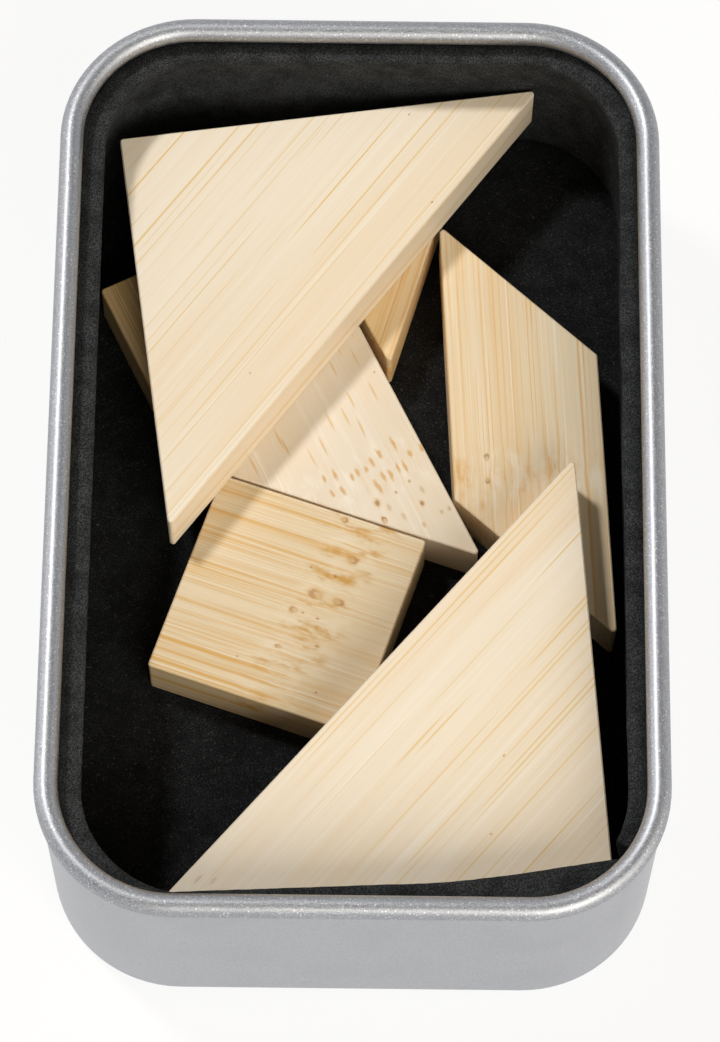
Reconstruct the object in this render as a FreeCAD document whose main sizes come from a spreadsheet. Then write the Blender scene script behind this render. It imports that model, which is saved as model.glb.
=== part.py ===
import FreeCAD, Part
import math
import os
import Sketcher

# Tangram set in a lidless rounded tin: a drawn tin base with a rolled rim, a foam pad on its floor,
# a foam strip round its wall, and the seven wooden pieces lying in two layers.
# Millimetres, +Z up. The origin is the middle of the underside, X across the tin and Y along it.

# Driving dimensions

DIMENSIONS = {
    # the wooden pieces
    "square_side": 25.6,
    "piece_thickness": 7.0,
    "corner_rounding": 0.4,
    "edge_easing": 0.15,
    # the tin
    "sheet": 0.5,
    "corner_radius": 15.8,
    "bottom_radius": 1.6,
    "bead_diameter": 2.7,
    "bead_step": 0.5,
    "spare_across": 2.0,
    "spare_along": 2.4,
    "head_room": 10.5,
    # the foam
    "pad_thickness": 7.0,
    "pad_inset": 1.2,
    "strip_thickness": 2.5,
    "strip_wall_gap": 0.1,
    "strip_rim_gap": 0.3,
    "strip_lean_angle": 2.6,
    "strip_bend_angle": 7.0,
    "strip_bend_radius": 110.0,
    "strip_near_run": 26.0,
    "strip_start_angle": 22.0,
    # the lower layer, in the medium triangle's own axes and in square sides
    "nest_across": -0.759,
    "nest_along": 0.2047,
    "nest_turn": -18.7,
    "flush_gap": 0.3,
    "square_slide": 0.150,
    "left_slide": -0.018,
    "back_across": 0.661,
    "back_along": 1.780,
    "back_turn": 182.2,
    "slant_across": 0.684,
    "slant_along": 1.543,
    "slant_turn": -68.3,
    # the upper layer, from the foam's inner faces to each right-angled corner
    "far_inset_across": 2.83,
    "far_inset_along": 7.67,
    "far_turn": -81.8,
    "near_inset_across": 2.47,
    "near_inset_along": 4.78,
    "near_turn": 94.3,
}

# Sizes that follow from the driving dimensions
DERIVED = {
    "large_leg": "=2 * square_side",
    "medium_leg": "=sqrt(2) * square_side",
    "half_diagonal": "=square_side / sqrt(2)",
    "level_one": "=sheet + pad_thickness",
    "level_two": "=level_one + piece_thickness",
    "tin_height": "=level_two + piece_thickness + head_room",
    "room_across": "=square_side * (1 + sqrt(2)) + spare_across",
    "room_along": "=square_side * 4 + spare_along",
    "wall_inset": "=bead_step + sheet",
    "strip_outer_inset": "=wall_inset + strip_wall_gap",
    "strip_inner_inset": "=strip_outer_inset + strip_thickness",
    "tin_width": "=room_across + 2 * strip_inner_inset",
    "tin_length": "=room_along + 2 * strip_inner_inset",
    "bead_radius": "=bead_diameter / 2",
    "bead_level": "=tin_height - bead_radius",
    "strip_height": "=tin_height - bead_diameter - strip_rim_gap - level_one",
}


def add_sheet(doc):
    """The spreadsheet that holds every driving and derived dimension."""
    sheet = doc.addObject("Spreadsheet::Sheet", "Dims")
    row = 1
    for alias, value in list(DIMENSIONS.items()) + list(DERIVED.items()):
        sheet.set(f"A{row}", alias)
        sheet.set(f"B{row}", str(value))
        sheet.setAlias(f"B{row}", alias)
        row += 1
    doc.recompute()
    return sheet


def origin_plane(body, role):
    """The body's own origin plane with the given role."""
    return next(f for f in body.Origin.OriginFeatures if f.Role == role)


def add_body(doc, name):
    """A PartDesign body whose label is its node's name."""
    body = doc.addObject("PartDesign::Body", name)
    body.Label = name
    return body


def add_sketch(body, name, role, lift=None):
    """A sketch on one of the body's origin planes, lifted by an expression where one is given."""
    sketch = body.newObject("Sketcher::SketchObject", name)
    sketch.AttachmentSupport = (origin_plane(body, role), [""])
    sketch.MapMode = "FlatFace"
    if lift:
        sketch.setExpression("AttachmentOffset.Base.z", lift)
    return sketch


def set_size(sketch, constraint, name, expression):
    """Adds a named constraint and binds its value to the spreadsheet."""
    index = sketch.addConstraint(constraint)
    sketch.renameConstraint(index, name)
    sketch.setExpression(f"Constraints.{name}", expression)
    return index


# The wooden pieces

def vector(x, y):
    """A point in a sketch's or a level plane."""
    return FreeCAD.Vector(x, y, 0)


def draw_polygon(sketch, points):
    """Straight sides through the points, joined end to end, from the sketch's origin."""
    count = len(points)
    for i in range(count):
        sketch.addGeometry(Part.LineSegment(vector(*points[i]), vector(*points[(i + 1) % count])))
    for i in range(count):
        sketch.addConstraint(Sketcher.Constraint("Coincident", i, 2, (i + 1) % count, 1))
    sketch.addConstraint(Sketcher.Constraint("Coincident", 0, 1, -1, 1))
    sketch.addConstraint(Sketcher.Constraint("Horizontal", 0))


def triangle_outline(sketch, leg_alias, leg):
    """A right-angled isosceles triangle, its right angle at the origin and its legs along X and Y."""
    draw_polygon(sketch, [(0, 0), (leg, 0), (0, leg)])
    sketch.addConstraint(Sketcher.Constraint("Vertical", 2))
    set_size(sketch, Sketcher.Constraint("Distance", 0, leg), "leg_x", f"Dims.{leg_alias}")
    set_size(sketch, Sketcher.Constraint("Distance", 2, leg), "leg_y", f"Dims.{leg_alias}")


def square_outline(sketch, side):
    """A square with one corner at the origin."""
    draw_polygon(sketch, [(0, 0), (side, 0), (side, side), (0, side)])
    sketch.addConstraint(Sketcher.Constraint("Vertical", 1))
    sketch.addConstraint(Sketcher.Constraint("Horizontal", 2))
    sketch.addConstraint(Sketcher.Constraint("Vertical", 3))
    set_size(sketch, Sketcher.Constraint("Distance", 0, side), "side_x", "Dims.square_side")
    set_size(sketch, Sketcher.Constraint("Distance", 1, side), "side_y", "Dims.square_side")


def slanted_outline(sketch, side):
    """The parallelogram: its long side along X, its short side at 45 degrees to it."""
    long_side = math.sqrt(2) * side
    rise = side / math.sqrt(2)
    draw_polygon(sketch, [(0, 0), (long_side, 0), (long_side + rise, rise), (rise, rise)])
    sketch.addConstraint(Sketcher.Constraint("Horizontal", 2))
    set_size(sketch, Sketcher.Constraint("Distance", 0, long_side), "long_side", "Dims.medium_leg")
    set_size(sketch, Sketcher.Constraint("Distance", 2, long_side), "far_side", "Dims.medium_leg")
    set_size(sketch, Sketcher.Constraint("DistanceX", 3, 2, 3, 1, rise), "slant_x", "Dims.half_diagonal")
    set_size(sketch, Sketcher.Constraint("DistanceY", 3, 2, 3, 1, rise), "slant_y", "Dims.half_diagonal")


def upright_edges(shape):
    """Names of the straight edges along Z."""
    names = []
    for i, edge in enumerate(shape.Edges, 1):
        start, end = edge.Vertexes[0].Point, edge.Vertexes[-1].Point
        if abs(start.z - end.z) > 1e-3 and abs(start.x - end.x) + abs(start.y - end.y) < 1e-6:
            names.append(f"Edge{i}")
    return names


def rim_edges(shape):
    """Names of the edges that lie in the shape's lowest and highest planes."""
    box = shape.BoundBox
    names = []
    for i, edge in enumerate(shape.Edges, 1):
        flat = edge.BoundBox.ZLength < 1e-6
        level = edge.BoundBox.ZMin
        if flat and (abs(level - box.ZMin) < 1e-6 or abs(level - box.ZMax) < 1e-6):
            names.append(f"Edge{i}")
    return names


def add_piece(doc, name, outline, across, along, turn, level):
    """One wooden piece: its outline padded, its corners rounded, its edges eased, then laid in place."""
    body = add_body(doc, name)
    sketch = add_sketch(body, f"{name}_outline", "XY_Plane")
    outline(sketch)
    pad = body.newObject("PartDesign::Pad", f"{name}_board")
    pad.Profile = sketch
    pad.setExpression("Length", "Dims.piece_thickness")
    doc.recompute()
    corners = body.newObject("PartDesign::Fillet", f"{name}_corners")
    corners.Base = (pad, upright_edges(pad.Shape))
    corners.setExpression("Radius", "Dims.corner_rounding")
    doc.recompute()
    eased = body.newObject("PartDesign::Chamfer", f"{name}_edges")
    eased.Base = (corners, rim_edges(corners.Shape))
    eased.setExpression("Size", "Dims.edge_easing")
    body.Placement = FreeCAD.Placement(FreeCAD.Vector(), FreeCAD.Rotation(FreeCAD.Vector(0, 0, 1), 1))
    body.setExpression("Placement.Base.x", across)
    body.setExpression("Placement.Base.y", along)
    body.setExpression("Placement.Base.z", f"Dims.{level}")
    body.setExpression("Placement.Rotation.Angle", turn)
    return body


def nested(across, along):
    """Place in the tin of a point given in the medium triangle's own axes, as two expressions."""
    turn = "Dims.nest_turn * 1 deg"
    x = f"Dims.nest_across * Dims.square_side + ({across}) * cos({turn}) - ({along}) * sin({turn})"
    y = f"Dims.nest_along * Dims.square_side + ({across}) * sin({turn}) + ({along}) * cos({turn})"
    return x, y


def add_pieces(doc):
    """The seven pieces: five on the pad and the two large triangles lying on them."""
    side = DIMENSIONS["square_side"]
    nest_turn = "Dims.nest_turn * 1 deg"
    pieces = []

    x, y = nested("0", "0")
    pieces.append(add_piece(doc, "medium_triangle",
                            lambda s: triangle_outline(s, "medium_leg", math.sqrt(2) * side),
                            x, y, nest_turn, "level_one"))
    x, y = nested("Dims.square_slide * Dims.square_side", "-Dims.flush_gap - Dims.square_side")
    pieces.append(add_piece(doc, "square", lambda s: square_outline(s, side), x, y, nest_turn, "level_one"))
    x, y = nested("-Dims.flush_gap - Dims.half_diagonal",
                  "Dims.left_slide * Dims.square_side + Dims.half_diagonal")
    pieces.append(add_piece(doc, "small_triangle_left", lambda s: triangle_outline(s, "square_side", side),
                            x, y, "(Dims.nest_turn - 45) * 1 deg", "level_one"))
    x, y = nested("Dims.back_across * Dims.square_side", "Dims.back_along * Dims.square_side")
    pieces.append(add_piece(doc, "small_triangle_back", lambda s: triangle_outline(s, "square_side", side),
                            x, y, "(Dims.nest_turn + Dims.back_turn) * 1 deg", "level_one"))
    x, y = nested("Dims.slant_across * Dims.square_side", "Dims.slant_along * Dims.square_side")
    pieces.append(add_piece(doc, "parallelogram", lambda s: slanted_outline(s, side),
                            x, y, "(Dims.nest_turn + Dims.slant_turn) * 1 deg", "level_one"))

    def large(sketch):
        triangle_outline(sketch, "large_leg", 2 * side)

    pieces.append(add_piece(doc, "large_triangle_far", large,
                            "Dims.far_inset_across - Dims.room_across / 2",
                            "Dims.room_along / 2 - Dims.far_inset_along",
                            "Dims.far_turn * 1 deg", "level_two"))
    pieces.append(add_piece(doc, "large_triangle_near", large,
                            "Dims.room_across / 2 - Dims.near_inset_across",
                            "Dims.near_inset_along - Dims.room_along / 2",
                            "Dims.near_turn * 1 deg", "level_two"))
    return pieces


# The tin

def draw_rounded_rectangle(sketch, width, length, radius, inset):
    """A rounded rectangle about the origin, inset from the tin's outline; the +X side has a middle point.

    width, length and radius are start values, and the constraints hold the real ones.
    """
    half_x, half_y, corner = width / 2, length / 2, radius
    in_x, in_y = half_x - corner, half_y - corner
    points = [(half_x, 0), (half_x, in_y), (in_x, half_y), (-in_x, half_y), (-half_x, in_y),
              (-half_x, -in_y), (-in_x, -half_y), (in_x, -half_y), (half_x, -in_y)]
    centres = {1: (in_x, in_y), 3: (-in_x, in_y), 5: (-in_x, -in_y), 7: (in_x, -in_y)}
    count = len(points)
    quarter = math.pi / 2
    for i in range(count):
        if i in centres:
            start = (i - 1) / 2 * quarter
            circle = Part.Circle(vector(*centres[i]), FreeCAD.Vector(0, 0, 1), corner)
            sketch.addGeometry(Part.ArcOfCircle(circle, start, start + quarter))
        else:
            sketch.addGeometry(Part.LineSegment(vector(*points[i]), vector(*points[(i + 1) % count])))
    for i in range(count):
        after = (i + 1) % count
        joint = "Tangent" if i in centres or after in centres else "Coincident"
        sketch.addConstraint(Sketcher.Constraint(joint, i, 2, after, 1))
    for line in (0, 4, 8):
        sketch.addConstraint(Sketcher.Constraint("Vertical", line))
    for line in (2, 6):
        sketch.addConstraint(Sketcher.Constraint("Horizontal", line))
    for arc in (3, 5, 7):
        sketch.addConstraint(Sketcher.Constraint("Equal", 1, arc))
    sketch.addConstraint(Sketcher.Constraint("PointOnObject", 0, 1, -1))
    set_size(sketch, Sketcher.Constraint("Radius", 1, corner), "corner", f"Dims.corner_radius - ({inset})")
    set_size(sketch, Sketcher.Constraint("DistanceX", -1, 1, 0, 1, half_x), "half_width",
             f"Dims.tin_width / 2 - ({inset})")
    set_size(sketch, Sketcher.Constraint("DistanceY", -1, 1, 2, 1, half_y), "half_length",
             f"Dims.tin_length / 2 - ({inset})")
    set_size(sketch, Sketcher.Constraint("DistanceX", 4, 1, 0, 1, width), "width",
             f"Dims.tin_width - 2 * ({inset})")
    set_size(sketch, Sketcher.Constraint("DistanceY", 6, 1, 2, 1, length), "length",
             f"Dims.tin_length - 2 * ({inset})")


def draw_wall_section(sketch, half_width, sizes):
    """The wall's section on the XZ plane: bottom bend, upright wall and the edge rolled into a bead.

    sizes gives the start values, and the named constraints hold the real ones.
    """
    sheet, step = sizes["sheet"], sizes["bead_step"]
    bend, bead = sizes["bottom_radius"], sizes["bead_diameter"] / 2
    level = sizes["tin_height"] - bead
    outer_x, inner_x = half_width - step, half_width - step - sheet
    centre_x = half_width - bead
    foot_x = outer_x - bend
    outer_drop = math.sqrt(bead ** 2 - (outer_x - centre_x) ** 2)
    inner_drop = math.sqrt(bead ** 2 - (inner_x - centre_x) ** 2)
    bead_start = math.atan2(-outer_drop, outer_x - centre_x)
    bead_end = math.atan2(-inner_drop, inner_x - centre_x) + 2 * math.pi
    up = FreeCAD.Vector(0, 0, 1)
    bend_circle = Part.Circle(vector(foot_x, bend), up, bend)
    bead_circle = Part.Circle(vector(centre_x, level), up, bead)
    for item in (
            Part.ArcOfCircle(bend_circle, -math.pi / 2, 0),
            Part.LineSegment(vector(outer_x, bend), vector(outer_x, level - outer_drop)),
            Part.ArcOfCircle(bead_circle, bead_start, bead_end),
            Part.LineSegment(vector(inner_x, level - inner_drop), vector(inner_x, sheet)),
            Part.LineSegment(vector(inner_x, sheet), vector(foot_x, sheet)),
            Part.LineSegment(vector(foot_x, sheet), vector(foot_x, 0))):
        sketch.addGeometry(item)
    bottom_bend, outer_wall, rolled_edge, inner_wall, floor_top, foot = range(6)
    sketch.addConstraint(Sketcher.Constraint("Tangent", bottom_bend, 2, outer_wall, 1))
    for first, second in ((outer_wall, rolled_edge), (rolled_edge, inner_wall), (inner_wall, floor_top),
                          (floor_top, foot), (foot, bottom_bend)):
        sketch.addConstraint(Sketcher.Constraint("Coincident", first, 2, second, 1))
    for line in (outer_wall, inner_wall, foot):
        sketch.addConstraint(Sketcher.Constraint("Vertical", line))
    sketch.addConstraint(Sketcher.Constraint("Horizontal", floor_top))
    sketch.addConstraint(Sketcher.Constraint("PointOnObject", foot, 2, -1))
    sketch.addConstraint(Sketcher.Constraint("Vertical", bottom_bend, 3, foot, 2))
    set_size(sketch, Sketcher.Constraint("Radius", bottom_bend, bend), "bend", "Dims.bottom_radius")
    set_size(sketch, Sketcher.Constraint("DistanceX", -1, 1, foot, 2, foot_x), "foot_place",
             "Dims.tin_width / 2 - Dims.bead_step - Dims.bottom_radius")
    set_size(sketch, Sketcher.Constraint("DistanceX", inner_wall, 1, outer_wall, 1, sheet), "wall_sheet",
             "Dims.sheet")
    set_size(sketch, Sketcher.Constraint("DistanceY", -1, 1, floor_top, 1, sheet), "floor_sheet",
             "Dims.sheet")
    set_size(sketch, Sketcher.Constraint("Radius", rolled_edge, bead), "bead", "Dims.bead_radius")
    set_size(sketch, Sketcher.Constraint("DistanceX", -1, 1, rolled_edge, 3, centre_x), "bead_place",
             "Dims.tin_width / 2 - Dims.bead_radius")
    set_size(sketch, Sketcher.Constraint("DistanceY", -1, 1, rolled_edge, 3, level), "bead_height",
             "Dims.bead_level")


def value(sheet, alias):
    """A cell's value as a plain number."""
    return float(sheet.get(alias))


def add_tin(doc, sheet):
    """The tin base: a flat floor, and the bent wall with its rolled edge swept round it."""
    body = add_body(doc, "tin_base")
    width, length = value(sheet, "tin_width"), value(sheet, "tin_length")
    radius = value(sheet, "corner_radius")
    foot = value(sheet, "bead_step") + value(sheet, "bottom_radius")

    outline = add_sketch(body, "tin_floor_outline", "XY_Plane")
    draw_rounded_rectangle(outline, width - 2 * foot, length - 2 * foot, radius - foot,
                           "Dims.bead_step + Dims.bottom_radius")
    floor = body.newObject("PartDesign::Pad", "tin_floor")
    floor.Profile = outline
    floor.setExpression("Length", "Dims.sheet")
    doc.recompute()

    path = add_sketch(body, "tin_wall_path", "XY_Plane")
    draw_rounded_rectangle(path, width - 2 * foot, length - 2 * foot, radius - foot,
                           "Dims.bead_step + Dims.bottom_radius")
    section = add_sketch(body, "tin_wall_section", "XZ_Plane")
    sizes = {alias: value(sheet, alias) for alias in
             ("sheet", "bead_step", "bottom_radius", "bead_diameter", "tin_height")}
    draw_wall_section(section, width / 2, sizes)
    doc.recompute()
    wall = body.newObject("PartDesign::AdditivePipe", "tin_wall")
    wall.Profile = section
    wall.Spine = path
    wall.Mode = "Standard"
    wall.Transition = "Transformed"
    doc.recompute()
    return body


# The foam

def add_pad(doc, sheet):
    """The foam pad on the tin's floor, cut a little smaller than the wall's inner face."""
    body = add_body(doc, "foam_floor_pad")
    inset = value(sheet, "wall_inset") + value(sheet, "pad_inset")
    outline = add_sketch(body, "pad_outline", "XY_Plane", "Dims.sheet")
    draw_rounded_rectangle(outline, value(sheet, "tin_width") - 2 * inset,
                           value(sheet, "tin_length") - 2 * inset,
                           value(sheet, "corner_radius") - inset, "Dims.wall_inset + Dims.pad_inset")
    pad = body.newObject("PartDesign::Pad", "pad_slab")
    pad.Profile = outline
    pad.setExpression("Length", "Dims.pad_thickness")
    doc.recompute()
    return body


def strip_route(sheet):
    """The strip's middle line: along the right, far, left and near walls, then off the near wall.

    It starts a little way round the near right corner, and ends there in a straight run that
    springs away from the wall, so that the strip cuts across the corner.
    """
    middle = value(sheet, "strip_outer_inset") + value(sheet, "strip_thickness") / 2
    half_x, half_y = value(sheet, "tin_width") / 2 - middle, value(sheet, "tin_length") / 2 - middle
    corner = value(sheet, "corner_radius") - middle
    in_x, in_y = half_x - corner, half_y - corner
    start = math.radians(value(sheet, "strip_start_angle"))
    lean = math.radians(value(sheet, "strip_lean_angle"))
    bend = math.radians(value(sheet, "strip_bend_angle"))
    up = FreeCAD.Vector(0, 0, 1)

    def corner_arc(x, y, first, last):
        return Part.ArcOfCircle(Part.Circle(vector(x, y), up, corner), first, last)

    quarter = math.pi / 2
    near_start = vector(-in_x + corner * math.sin(lean), -in_y - corner * math.cos(lean))
    run = value(sheet, "strip_near_run")
    near_end = near_start + vector(math.cos(lean), math.sin(lean)) * run
    sweep_radius = value(sheet, "strip_bend_radius")
    sweep_centre = near_end + vector(-math.sin(lean), math.cos(lean)) * sweep_radius
    sweep_circle = Part.Circle(sweep_centre, up, sweep_radius)
    sweep = Part.ArcOfCircle(sweep_circle, lean - quarter, lean + bend - quarter)
    sweep_end = sweep.EndPoint
    heading = vector(math.cos(lean + bend), math.sin(lean + bend))
    return {
        "edges": [
            corner_arc(in_x, -in_y, -start, 0),
            Part.LineSegment(vector(half_x, -in_y), vector(half_x, in_y)),
            corner_arc(in_x, in_y, 0, quarter),
            Part.LineSegment(vector(in_x, half_y), vector(-in_x, half_y)),
            corner_arc(-in_x, in_y, quarter, 2 * quarter),
            Part.LineSegment(vector(-half_x, in_y), vector(-half_x, -in_y)),
            corner_arc(-in_x, -in_y, 2 * quarter, 3 * quarter + lean),
            Part.LineSegment(near_start, near_end),
            sweep,
        ],
        "end": sweep_end,
        "heading": heading,
        "corner": vector(in_x, -in_y),
    }


def end_run(sheet, route):
    """Length of the last straight run, which stops where the strip's outer edge meets the corner."""
    limit = value(sheet, "corner_radius") - value(sheet, "strip_outer_inset")
    side = vector(route["heading"].y, -route["heading"].x) * (value(sheet, "strip_thickness") / 2)
    start = route["end"] + side - route["corner"]
    along = start.dot(route["heading"])
    return -along + math.sqrt(along ** 2 - start.dot(start) + limit ** 2)


def add_strip(doc, sheet):
    """The foam strip that lines the wall, one length of sheet foam stood on edge on the pad."""
    route = strip_route(sheet)
    last = Part.LineSegment(route["end"], route["end"] + route["heading"] * end_run(sheet, route))
    spine = Part.Wire([item.toShape() for item in route["edges"] + [last]])
    first = route["edges"][0]
    start = first.StartPoint
    outward = (start - route["corner"]).normalize() * (value(sheet, "strip_thickness") / 2)
    lift = FreeCAD.Vector(0, 0, value(sheet, "strip_height"))
    corners = [start - outward, start + outward, start + outward + lift, start - outward + lift]
    section = Part.makePolygon(corners + [corners[0]])
    strip = doc.addObject("Part::Feature", "foam_wall_strip")
    strip.Label = "foam_wall_strip"
    strip.Shape = spine.makePipeShell([section], True, False)
    strip.Placement = FreeCAD.Placement(FreeCAD.Vector(0, 0, value(sheet, "level_one")), FreeCAD.Rotation())
    return strip


# Checks and export

def check(doc, parts):
    """Stops the build if any object failed or a sub-part isn't one valid solid."""
    for item in doc.Objects:
        if "Invalid" in item.State or "Error" in item.State:
            raise RuntimeError(f"{item.Label} failed: {item.State}")
    for part in parts:
        shape = part.Shape
        if shape.isNull() or not shape.isValid() or len(shape.Solids) != 1:
            raise RuntimeError(f"{part.Label} is not one valid solid")


def main():
    """Builds the document, checks it and writes each sub-part to its own file."""
    doc = FreeCAD.newDocument("tangram")
    sheet = add_sheet(doc)
    parts = [add_tin(doc, sheet), add_pad(doc, sheet), add_strip(doc, sheet)] + add_pieces(doc)
    doc.recompute()
    check(doc, parts)
    os.makedirs("parts", exist_ok=True)
    for part in parts:
        part.Shape.exportStep(f"parts/{part.Label}.step")
        box = part.Shape.BoundBox
        print(f"{part.Label}: {part.Shape.Volume:.1f} mm3, x {box.XMin:.2f} to {box.XMax:.2f}, "
              f"y {box.YMin:.2f} to {box.YMax:.2f}, z {box.ZMin:.2f} to {box.ZMax:.2f}")


main()
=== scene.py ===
"""Looks of a tangram set: seven bamboo boards in a lidless rounded tin lined with black foam.

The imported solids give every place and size. Fields hold millimetres and degrees unless their name
says otherwise, and meshes are written in metres.
"""

import logging
import math
from dataclasses import dataclass, field
from enum import Enum

import bmesh
import bpy
from mathutils import Matrix, Vector, noise


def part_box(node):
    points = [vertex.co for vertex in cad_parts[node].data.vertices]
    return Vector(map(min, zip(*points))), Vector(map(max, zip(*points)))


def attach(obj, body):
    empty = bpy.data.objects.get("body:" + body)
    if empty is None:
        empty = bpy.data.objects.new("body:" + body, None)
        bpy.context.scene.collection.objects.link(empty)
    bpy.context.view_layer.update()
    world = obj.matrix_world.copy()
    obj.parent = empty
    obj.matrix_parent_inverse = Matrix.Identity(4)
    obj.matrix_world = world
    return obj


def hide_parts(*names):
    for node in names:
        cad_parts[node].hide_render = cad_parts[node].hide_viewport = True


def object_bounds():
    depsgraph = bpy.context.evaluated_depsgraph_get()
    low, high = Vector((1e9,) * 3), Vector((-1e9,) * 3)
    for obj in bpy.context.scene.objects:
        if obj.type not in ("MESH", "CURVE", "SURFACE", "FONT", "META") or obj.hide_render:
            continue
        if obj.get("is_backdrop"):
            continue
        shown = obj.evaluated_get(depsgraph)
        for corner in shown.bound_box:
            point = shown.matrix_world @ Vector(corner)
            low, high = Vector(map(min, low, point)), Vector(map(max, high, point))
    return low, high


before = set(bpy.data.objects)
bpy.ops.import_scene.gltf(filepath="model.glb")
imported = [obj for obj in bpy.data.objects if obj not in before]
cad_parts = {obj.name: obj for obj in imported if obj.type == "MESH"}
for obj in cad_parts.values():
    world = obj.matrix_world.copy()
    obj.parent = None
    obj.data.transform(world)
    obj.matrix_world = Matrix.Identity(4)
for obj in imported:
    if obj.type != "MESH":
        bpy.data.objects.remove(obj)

MM = 0.001
LOG = logging.getLogger("tangram")

Colour = tuple[float, float, float, float]
Triple = tuple[float, float, float]
Socket = bpy.types.NodeSocket
Material = bpy.types.Material
Piece = bpy.types.Object


def srgb(red: int, green: int, blue: int) -> Colour:
    """Turns a colour in eight-bit screen values into the linear values that shaders take.

    Args:
        red: Red, 0 to 255.
        green: Green, 0 to 255.
        blue: Blue, 0 to 255.

    Returns:
        The linear colour with full alpha.
    """
    def linear(value: int) -> float:
        """One channel as linear light."""
        share = value / 255
        return share / 12.92 if share <= 0.04045 else ((share + 0.055) / 1.055) ** 2.4

    return linear(red), linear(green), linear(blue), 1.0


class ShaderTree:
    """A node tree under construction, with short calls for the nodes that the finishes share."""

    def __init__(self, name: str, world: bool = False) -> None:
        """Starts an empty material or world.

        Args:
            name: Its name.
            world: Whether it is a world.
        """
        self.owner = (bpy.data.worlds if world else bpy.data.materials).new(name)
        self.owner.use_nodes = True
        self.tree = self.owner.node_tree
        self.tree.nodes.clear()

    def feed(self, socket: Socket, value: object) -> None:
        """Gives a socket a value or links another node's output to it.

        Args:
            socket: The input.
            value: An output socket, a number, a vector or a colour.
        """
        if isinstance(value, Socket):
            self.tree.links.new(value, socket)
        else:
            socket.default_value = value

    def node(self, kind: str, *values: object, **settings: object) -> bpy.types.Node:
        """Adds a node.

        Args:
            kind: The node's type name, without the ShaderNode in front.
            *values: What its inputs are fed, in order. None leaves one as it is.
            **settings: Its properties.

        Returns:
            The new node.
        """
        made = self.tree.nodes.new(f"ShaderNode{kind}")
        for name, value in settings.items():
            setattr(made, name, value)
        for socket, value in zip(made.inputs, values):
            if value is not None:
                self.feed(socket, value)
        return made

    def math(self, operation: str, first: object, second: object = 0.0) -> Socket:
        """The result of one of the Math node's operations on two values or sockets."""
        return self.node("Math", first, second, operation=operation).outputs[0]

    def times(self, first: object, second: object) -> Socket:
        """The product of two values or sockets."""
        return self.math("MULTIPLY", first, second)

    def centred(self, value: Socket, strength: object) -> Socket:
        """Noise moved from 0.5 to a mean of 0 and multiplied."""
        return self.times(self.math("SUBTRACT", value, 0.5), strength)

    def step(self, value: object, start: float, stop: float, low: float = 0.0,
             high: float = 1.0) -> Socket:
        """A smooth step from low at start to high at stop."""
        return self.node("MapRange", value, start, stop, low, high,
                         interpolation_type="SMOOTHSTEP").outputs[0]

    def stretch(self, vector: Socket, scale: Triple, shift: Triple = (0.0, 0.0, 0.0)) -> Socket:
        """A vector scaled, then shifted."""
        return self.node("Mapping", vector, shift, None, scale).outputs[0]

    def parts(self, vector: Socket) -> list[Socket]:
        """The three parts of a vector."""
        return list(self.node("SeparateXYZ", vector).outputs)

    def object_place(self) -> Socket:
        """The place in the object's own coordinates, in metres."""
        return self.node("TexCoord").outputs["Object"]

    def noise(self, vector: Socket, scale: Triple, shift: Triple = (0.0, 0.0, 0.0),
              detail: float = 2.0, roughness: float = 0.5) -> Socket:
        """Cloudy noise, about 0.5 in the mean.

        Args:
            vector: Where it is read.
            scale: Waves per unit along each axis.
            shift: What is added to the scaled place.
            detail: How many finer layers it has.
            roughness: How strong the finer layers are.

        Returns:
            The value's socket.
        """
        return self.node("TexNoise", self.stretch(vector, scale, shift), None, 1.0, detail,
                         roughness, noise_dimensions="3D").outputs[0]

    def cells(self, vector: Socket, scale: Triple, shift: Triple = (0.0, 0.0, 0.0),
              dimensions: str = "3D") -> tuple[Socket, Socket, Socket]:
        """Random points.

        Args:
            vector: Where they are read.
            scale: Points per unit along each axis.
            shift: What is added to the scaled place.
            dimensions: "2D" or "3D".

        Returns:
            The distance to the nearest point, and two random values of that point.
        """
        made = self.node("TexVoronoi", self.stretch(vector, scale, shift), None, 1.0,
                         voronoi_dimensions=dimensions, feature="F1")
        red, green, _ = self.node("SeparateColor", made.outputs["Color"]).outputs
        return made.outputs["Distance"], red, green

    def mix(self, share: object, first: object, second: object) -> Socket:
        """The first colour with a share of the second over it."""
        unused = (None,) * 5  # the Mix node's inputs for other kinds of data
        return self.node("Mix", share, *unused, first, second, data_type="RGBA").outputs[2]

    def bump(self, height: Socket, depth: float, strength: float) -> Socket:
        """A normal that follows a height, where 1 stands a depth in millimetres over 0."""
        return self.node("Bump", strength, depth * MM, None, height).outputs[0]

    def seen(self) -> Socket:
        """1 for the camera's rays and for those that metal and glass send on, and 0 for light.

        Returns:
            The value's socket.
        """
        rays = self.node("LightPath").outputs
        sent_on = self.math("MAXIMUM", rays["Is Glossy Ray"], rays["Is Transmission Ray"])
        return self.math("MAXIMUM", rays["Is Camera Ray"], sent_on)

    def surface(self, **inputs: object) -> Material:
        """Ends the tree in one Principled surface.

        Args:
            **inputs: Its inputs, with underscores for the spaces in their names.

        Returns:
            The finished material.
        """
        shader = self.node("BsdfPrincipled")
        for name, value in inputs.items():
            self.feed(shader.inputs[name.replace("_", " ")], value)
        self.node("OutputMaterial", shader.outputs[0])
        return self.owner


class Board(Enum):
    """The seven boards, by the names of their solids."""

    LARGE_FAR = "large_triangle_far"
    LARGE_NEAR = "large_triangle_near"
    MEDIUM = "medium_triangle"
    SMALL_LEFT = "small_triangle_left"
    SMALL_BACK = "small_triangle_back"
    SQUARE = "square"
    PARALLELOGRAM = "parallelogram"


@dataclass(frozen=True)
class Pit:
    """A small pit in a board's face, placed from the middle of the board's box.

    along and across follow the grain, size is the pit's half width, tone how dark it is and length
    how much longer than wide it is. hollow shifts the dark part along the grain, in half widths.
    """

    along: float
    across: float
    size: float = 0.35
    tone: float = 0.8
    length: float = 1.5
    hollow: float = 0.0


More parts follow.
